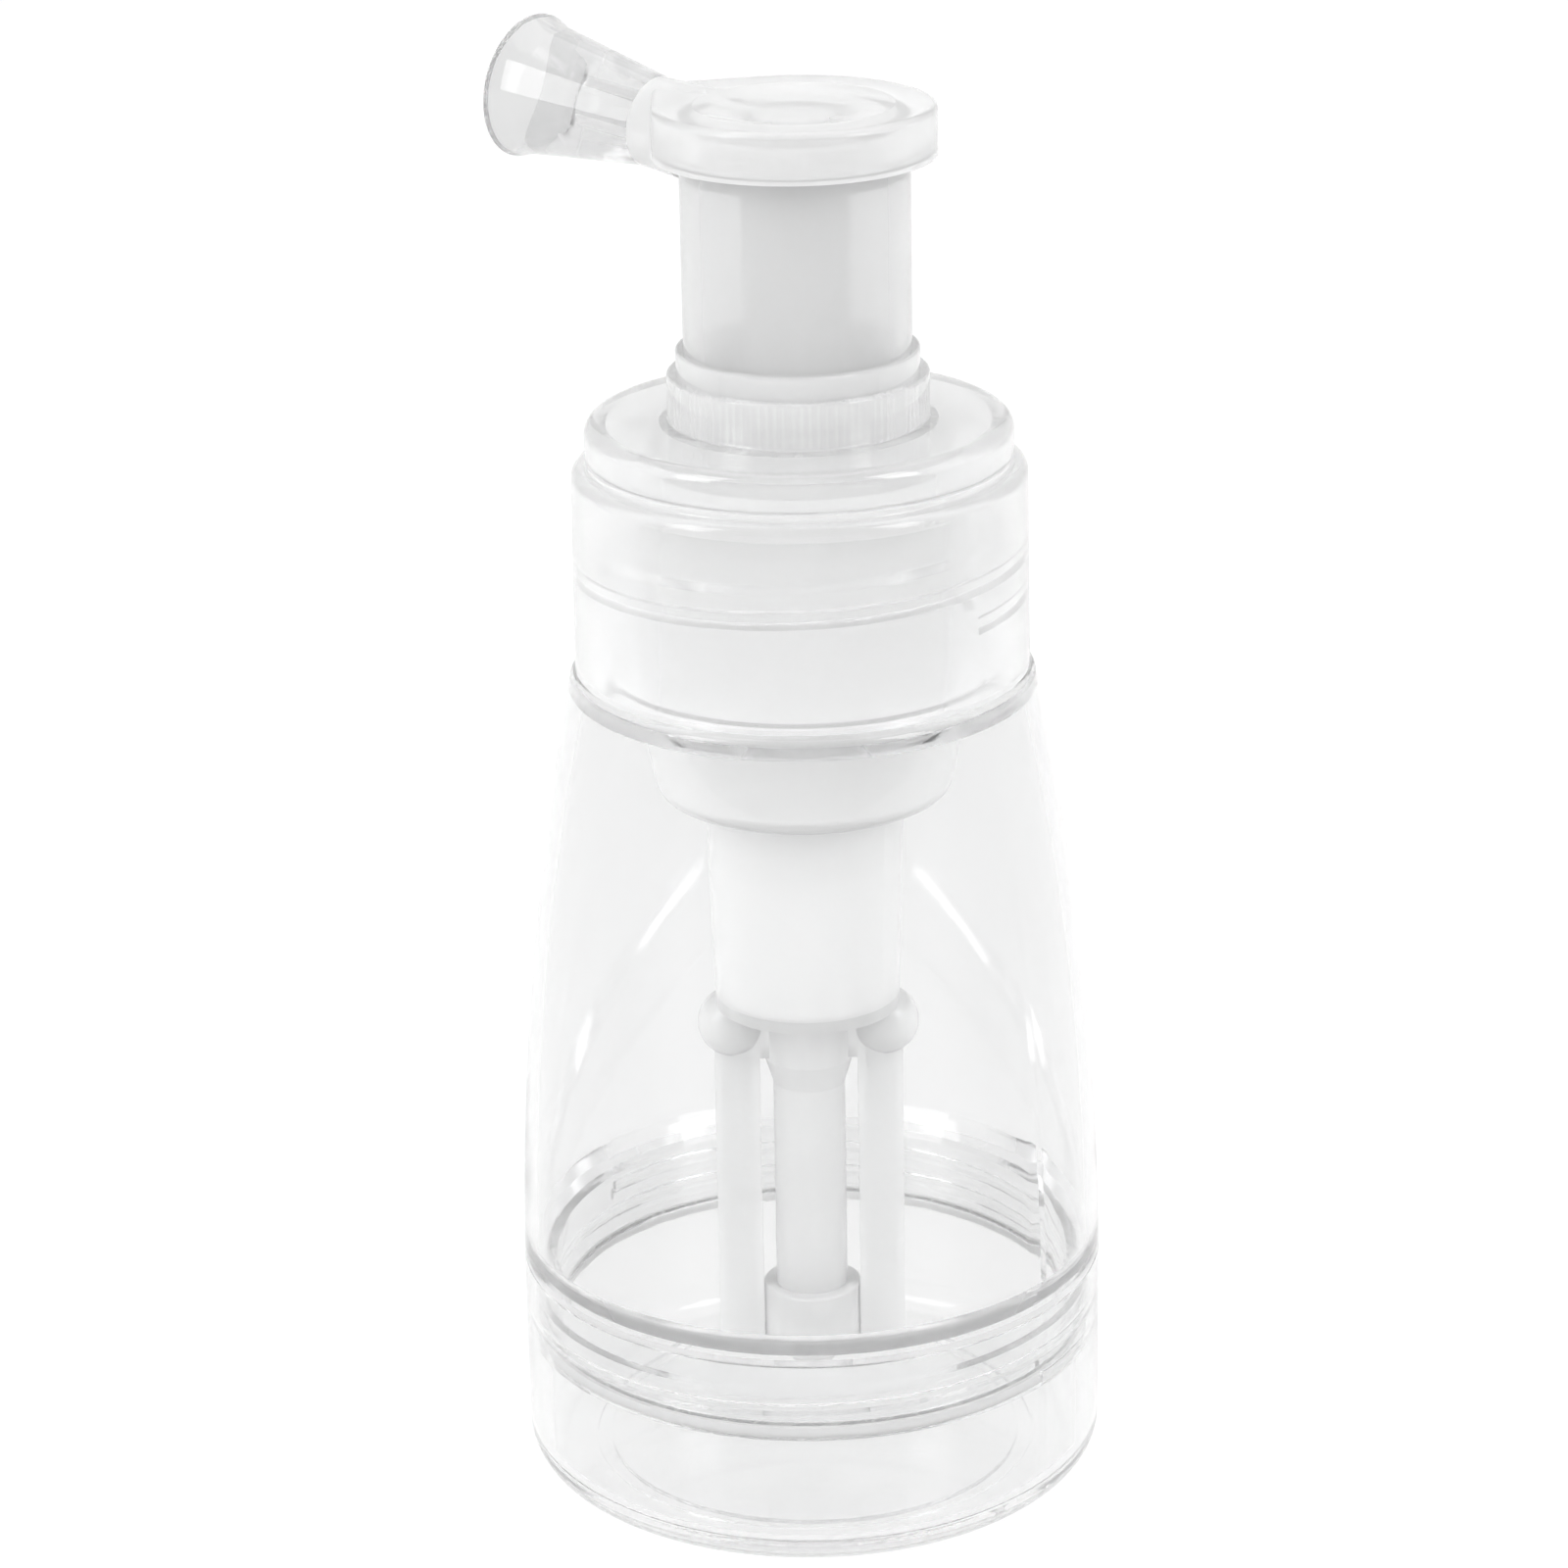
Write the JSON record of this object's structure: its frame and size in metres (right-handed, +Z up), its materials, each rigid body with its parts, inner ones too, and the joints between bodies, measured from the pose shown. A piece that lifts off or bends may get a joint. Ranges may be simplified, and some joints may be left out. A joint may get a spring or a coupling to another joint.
{
  "type": "powder pump bottle",
  "caption": "Clear refillable bottle on a screw-on base cup, with a spring-returned air pump that blows loose powder out of a flared side nozzle.",
  "frame": {"origin": "centre of the base cup's flat underside, on the axis of bottle and pump", "axes": "+Z up along the bottle's axis; the nozzle points along -X at rest"},
  "size_m": [0.0662, 0.062, 0.1524],
  "materials": {
    "clear_pet": "clear, polished",
    "clear_styrene": "clear, polished",
    "natural_pp": "natural, translucent, smooth moulded",
    "clear_silicone": "translucent, satin",
    "ball_plastic": "polished",
    "spring_steel": "drawn wire"
  },
  "bodies": {
    "base": {"base_cup": "clear_pet"},
    "seal_ring": {"base_seal": "clear_silicone"},
    "bottle": {"bottle": "clear_pet"},
    "pump": {"neck_gasket": "clear_silicone", "air_cylinder": "natural_pp", "spring_cup": "natural_pp", "riser_tube": "natural_pp", "duct_block": "natural_pp", "foot_valve": "natural_pp", "return_spring": "spring_steel"},
    "collar": {"collar": "natural_pp", "gland": "natural_pp"},
    "plunger": {"piston": "natural_pp", "piston_seal": "clear_silicone", "inlet_flap": "clear_silicone"},
    "head": {"stem_tube": "natural_pp", "stem_sleeve": "natural_pp", "pump_head": "natural_pp", "nozzle": "clear_styrene"},
    "right_ball": {"right_check_ball": "ball_plastic"},
    "left_ball": {"left_check_ball": "ball_plastic"},
    "foot_ball": {"foot_ball": "ball_plastic"}
  },
  "joints": [
    {"name": "base_unscrew", "type": "hinge", "parent": "base", "child": "seal_ring", "pos_m": [0, 0, 0.0157], "axis": [0, 0, 1], "range_deg": [0, 542]},
    {"name": "bottle_rise", "type": "slide", "parent": "seal_ring", "child": "bottle", "axis": [0, 0, 1], "range_m": [0, 0.0045]},
    {"name": "pump_rise", "type": "slide", "parent": "bottle", "child": "pump", "axis": [0, 0, 1], "range_m": [0, 0.0063]},
    {"name": "collar_unscrew", "type": "hinge", "parent": "pump", "child": "collar", "pos_m": [0, 0, 0.1], "axis": [0, 0, 1], "range_deg": [0, 542]},
    {"name": "pump_press", "type": "slide", "parent": "pump", "child": "plunger", "axis": [0, 0, -1], "range_m": [0, 0.018], "stiffness_N_per_m": 150, "springref_m": -0.012, "deforming": ["return_spring"]},
    {"name": "head_swivel", "type": "hinge", "parent": "plunger", "child": "head", "pos_m": [0, 0, 0.142], "axis": [0, 0, 1], "continuous": true},
    {"name": "right_ball_lift", "type": "slide", "parent": "pump", "child": "right_ball", "axis": [0, 0, 1], "range_m": [0, 0.00125]},
    {"name": "left_ball_lift", "type": "slide", "parent": "pump", "child": "left_ball", "axis": [0, 0, 1], "range_m": [0, 0.00125]},
    {"name": "foot_ball_lift", "type": "slide", "parent": "pump", "child": "foot_ball", "axis": [0, 0, 1], "range_m": [0, 0.0021]}
  ],
  "couplings": [
    {"joint": "base_unscrew", "follows": "bottle_rise", "rad_per_m": 2094.4},
    {"joint": "collar_unscrew", "follows": "pump_rise", "rad_per_m": 1496}
  ]
}
